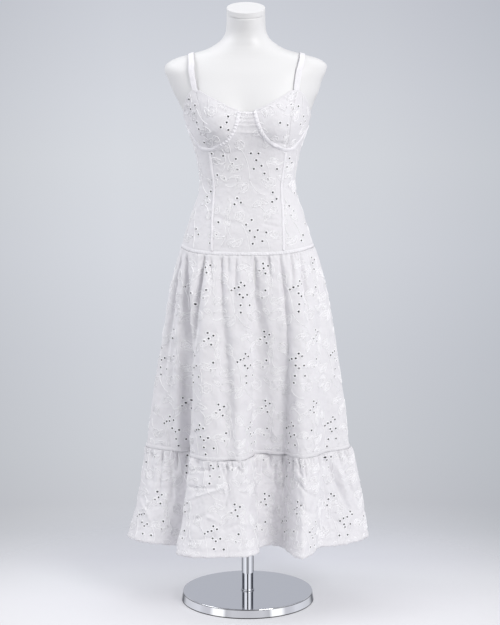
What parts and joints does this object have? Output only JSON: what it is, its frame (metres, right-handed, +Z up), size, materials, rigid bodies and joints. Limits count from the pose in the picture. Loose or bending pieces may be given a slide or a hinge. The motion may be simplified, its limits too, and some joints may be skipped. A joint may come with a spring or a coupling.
{
  "type": "tiered eyelet dress on a limbless dress form",
  "caption": "Sleeveless long white cotton dress with narrow straps, underwired cups and a gathered tiered skirt, on a limbless dress form with a pole and a round base.",
  "frame": {"origin": "centre of the base disc's underside, on the axis of the pole", "axes": "+Z up along the pole; the dress faces -Y; +X is to the right seen from the front"},
  "size_m": [0.5925, 0.4167, 1.4538],
  "materials": {
    "cotton": "matt white cotton with eyelet embroidery",
    "band": "matt white cotton strip, stitched",
    "form": "smooth white satin",
    "chrome": "polished chrome plate"
  },
  "bodies": {
    "root": {"base_disc": "chrome", "pole": "chrome", "pole_collar": "chrome", "form_torso": "form", "neck_cap": "form", "centre_front": "cotton", "side_front_left": "cotton", "side_front_right": "cotton", "inner_cup_left": "cotton", "inner_cup_right": "cotton", "outer_cup_left": "cotton", "outer_cup_right": "cotton", "back_left": "cotton", "back_right": "cotton", "upper_tier_front": "cotton", "upper_tier_back": "cotton", "flounce_front": "cotton", "flounce_back": "cotton", "wire_channel_left": "band", "wire_channel_right": "band", "front_casing_left": "band", "front_casing_right": "band", "strap_left": "band", "strap_right": "band", "waist_band": "band", "tier_band": "band"}
  },
  "joints": []
}
